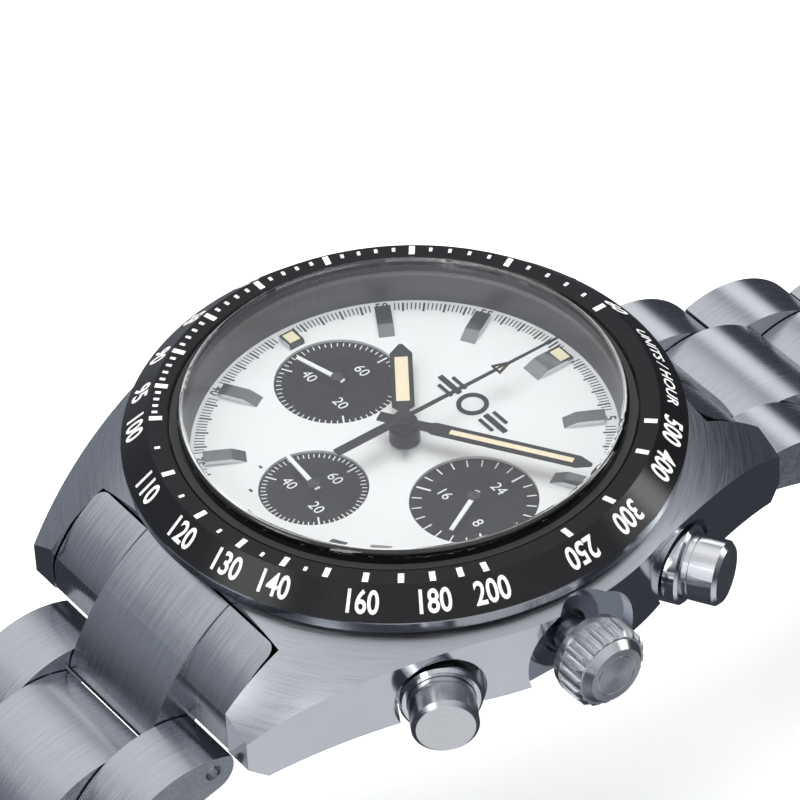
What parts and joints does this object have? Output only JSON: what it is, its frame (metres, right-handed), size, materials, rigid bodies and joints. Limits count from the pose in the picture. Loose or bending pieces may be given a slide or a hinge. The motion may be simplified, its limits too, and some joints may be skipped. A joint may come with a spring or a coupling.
{
  "type": "chronograph wristwatch",
  "caption": "Chronograph wristwatch: round case with lugs, black scale bezel, white dial with black sub-dials, crown, push buttons, jointed bracelet and folding clasp.",
  "frame": {"origin": "centre of the outer face of the case back", "axes": "+X towards the crown, +Y towards 12 o'clock, +Z out through the crystal"},
  "size_m": [0.044, 0.1735, 0.0435],
  "materials": {
    "brushed_steel": "brushed",
    "polished_steel": "polished",
    "black_bezel": "gloss",
    "sapphire": "polished",
    "gasket_rubber": "matt",
    "white_dial": "satin",
    "black_dial": "gloss",
    "lume": "matt",
    "solar_film": "gloss",
    "brass_plate": "satin",
    "holder_plastic": "matt",
    "board_green": "satin",
    "copper_coil": "satin",
    "bridge_steel": "brushed",
    "black_hand": "satin",
    "white_hand": "satin",
    "date_white": "matt"
  },
  "bodies": {
    "case": {"case_middle": "brushed_steel", "tachymeter_bezel": "black_bezel", "crystal": "sapphire", "crystal_gasket": "gasket_rubber", "dial_flange": "brushed_steel", "dial": "white_dial", "subdial_plate": "black_dial", "hour_markers": "polished_steel", "marker_lume": "lume", "solar_cell": "solar_film", "movement_plate": "brass_plate", "movement_holder": "holder_plastic", "circuit_board": "board_green", "motor_coils": "copper_coil", "train_bridge": "bridge_steel", "rechargeable_cell": "polished_steel", "cell_clamp": "bridge_steel", "movement_screws": "polished_steel", "case_back": "polished_steel", "case_back_gasket": "gasket_rubber", "pusher_tubes": "polished_steel", "crown_tube": "polished_steel", "switch_springs": "brass_plate", "end_link_12": "brushed_steel", "end_link_6": "brushed_steel", "lug_spring_bars": "polished_steel"},
    "setting": {"setting_lever": "bridge_steel"},
    "crown": {"crown": "polished_steel", "crown_stem": "polished_steel"},
    "upper_pusher": {"pusher_upper": "polished_steel", "pusher_spring_upper": "polished_steel"},
    "lower_pusher": {"pusher_lower": "polished_steel", "pusher_spring_lower": "polished_steel"},
    "minute_work": {"minute_hand": "black_hand", "cannon_pinion": "brass_plate"},
    "hour_work": {"hour_hand": "black_hand", "hour_wheel": "brass_plate"},
    "minute_train": {"minute_wheel": "brass_plate"},
    "day_indicator": {"day_hand": "white_hand"},
    "chrono_seconds": {"seconds_hand": "black_hand"},
    "chrono_minutes": {"minute_counter_hand": "white_hand"},
    "running_seconds": {"small_seconds_hand": "white_hand"},
    "date_disc": {"date_ring": "date_white"},
    "clasp": {"clasp_cover": "brushed_steel", "clasp_bar_6": "polished_steel"},
    "fold_1": {"clasp_blade_1": "polished_steel"},
    "fold_2": {"clasp_blade_2": "polished_steel", "clasp_bar_12": "polished_steel"},
    "button_right": {"clasp_button_right": "polished_steel"},
    "button_left": {"clasp_button_left": "polished_steel"},
    "row_12_1": {"link_12_1": "brushed_steel"},
    "row_12_2": {"link_12_2": "brushed_steel"},
    "row_12_3": {"link_12_3": "brushed_steel"},
    "row_12_4": {"link_12_4": "brushed_steel"},
    "row_12_5": {"link_12_5": "brushed_steel"},
    "row_12_6": {"link_12_6": "brushed_steel"},
    "row_6_1": {"link_6_1": "brushed_steel"},
    "row_6_2": {"link_6_2": "brushed_steel"},
    "row_6_3": {"link_6_3": "brushed_steel"},
    "row_6_4": {"link_6_4": "brushed_steel"}
  },
  "joints": [
    {"name": "crown_pull", "type": "slide", "parent": "case", "child": "setting", "axis": [1, 0, 0], "range_m": [0, 0.0008]},
    {"name": "crown_turn", "type": "hinge", "parent": "setting", "child": "crown", "pos_m": [0.022, 0, 0.0043], "axis": [1, 0, 0], "continuous": true},
    {"name": "upper_push", "type": "slide", "parent": "case", "child": "upper_pusher", "axis": [-0.8625, -0.506, 0], "range_m": [0, 0.0009], "stiffness_N_per_m": 1500, "springref_m": -0.0005},
    {"name": "lower_push", "type": "slide", "parent": "case", "child": "lower_pusher", "axis": [-0.8625, 0.506, 0], "range_m": [0, 0.0009], "stiffness_N_per_m": 1500, "springref_m": -0.0005},
    {"name": "minute_turn", "type": "hinge", "parent": "case", "child": "minute_work", "pos_m": [0, 0, 0.0081], "axis": [0, 0, -1], "continuous": true},
    {"name": "hour_turn", "type": "hinge", "parent": "case", "child": "hour_work", "pos_m": [0, 0, 0.0081], "axis": [0, 0, -1], "continuous": true},
    {"name": "train_turn", "type": "hinge", "parent": "case", "child": "minute_train", "pos_m": [0.00204, 0.00204, 0.0065], "axis": [0, 0, -1], "continuous": true},
    {"name": "day_turn", "type": "hinge", "parent": "case", "child": "day_indicator", "pos_m": [0.008, 0, 0.0081], "axis": [0, 0, -1], "continuous": true},
    {"name": "chrono_seconds_turn", "type": "hinge", "parent": "case", "child": "chrono_seconds", "pos_m": [0, 0, 0.0081], "axis": [0, 0, -1], "continuous": true},
    {"name": "chrono_minutes_turn", "type": "hinge", "parent": "case", "child": "chrono_minutes", "pos_m": [-0.008, 0, 0.0081], "axis": [0, 0, -1], "continuous": true},
    {"name": "running_seconds_turn", "type": "hinge", "parent": "case", "child": "running_seconds", "pos_m": [0, -0.00785, 0.0081], "axis": [0, 0, -1], "continuous": true},
    {"name": "date_turn", "type": "hinge", "parent": "case", "child": "date_disc", "pos_m": [0, 0, 0.0064], "axis": [0, 0, -1], "continuous": true},
    {"name": "row_12_1_hinge", "type": "hinge", "parent": "case", "child": "row_12_1", "pos_m": [0, 0.02409, -0.00067], "axis": [-1, 0, 0], "range_deg": [0, 22]},
    {"name": "row_12_2_hinge", "type": "hinge", "parent": "row_12_1", "child": "row_12_2", "pos_m": [0, 0.03409, -0.00354], "axis": [-1, 0, 0], "range_deg": [0, 22]},
    {"name": "row_12_3_hinge", "type": "hinge", "parent": "row_12_2", "child": "row_12_3", "pos_m": [0, 0.04386, -0.00709], "axis": [-1, 0, 0], "range_deg": [0, 22]},
    {"name": "row_12_4_hinge", "type": "hinge", "parent": "row_12_3", "child": "row_12_4", "pos_m": [0, 0.0535, -0.01099], "axis": [-1, 0, 0], "range_deg": [0, 22]},
    {"name": "row_12_5_hinge", "type": "hinge", "parent": "row_12_4", "child": "row_12_5", "pos_m": [0, 0.063, -0.01522], "axis": [-1, 0, 0], "range_deg": [0, 22]},
    {"name": "row_12_6_hinge", "type": "hinge", "parent": "row_12_5", "child": "row_12_6", "pos_m": [0, 0.07235, -0.01978], "axis": [-1, 0, 0], "range_deg": [0, 22]},
    {"name": "row_6_1_hinge", "type": "hinge", "parent": "case", "child": "row_6_1", "pos_m": [0, -0.02409, -0.00067], "axis": [1, 0, 0], "range_deg": [0, 22]},
    {"name": "row_6_2_hinge", "type": "hinge", "parent": "row_6_1", "child": "row_6_2", "pos_m": [0, -0.03409, -0.00354], "axis": [1, 0, 0], "range_deg": [0, 22]},
    {"name": "row_6_3_hinge", "type": "hinge", "parent": "row_6_2", "child": "row_6_3", "pos_m": [0, -0.04386, -0.00709], "axis": [1, 0, 0], "range_deg": [0, 22]},
    {"name": "row_6_4_hinge", "type": "hinge", "parent": "row_6_3", "child": "row_6_4", "pos_m": [0, -0.0535, -0.01099], "axis": [1, 0, 0], "range_deg": [0, 22]},
    {"name": "clasp_hinge", "type": "hinge", "parent": "row_6_4", "child": "clasp", "pos_m": [0, -0.063, -0.01522], "axis": [1, 0, 0], "range_deg": [0, 22]},
    {"name": "fold_1_hinge", "type": "hinge", "parent": "clasp", "child": "fold_1", "pos_m": [0, -0.08735, -0.02804], "axis": [-1, 0, 0], "range_deg": [0, 150]},
    {"name": "fold_2_hinge", "type": "hinge", "parent": "fold_1", "child": "fold_2", "pos_m": [0, -0.06695, -0.01898], "axis": [1, 0, 0], "range_deg": [0, 150]},
    {"name": "button_right_push", "type": "slide", "parent": "clasp", "child": "button_right", "axis": [-1, 0, 0], "range_m": [0, 0.0005], "stiffness_N_per_m": 800, "springref_m": -0.0005},
    {"name": "button_left_push", "type": "slide", "parent": "clasp", "child": "button_left", "axis": [1, 0, 0], "range_m": [0, 0.0005], "stiffness_N_per_m": 800, "springref_m": -0.0005}
  ],
  "couplings": [
    {"joint": "hour_turn", "follows": "minute_turn", "ratio": 0.083333},
    {"joint": "train_turn", "follows": "minute_turn", "ratio": -0.33333},
    {"joint": "day_turn", "follows": "minute_turn", "ratio": 0.041667},
    {"joint": "chrono_minutes_turn", "follows": "chrono_seconds_turn", "ratio": 0.016667}
  ]
}
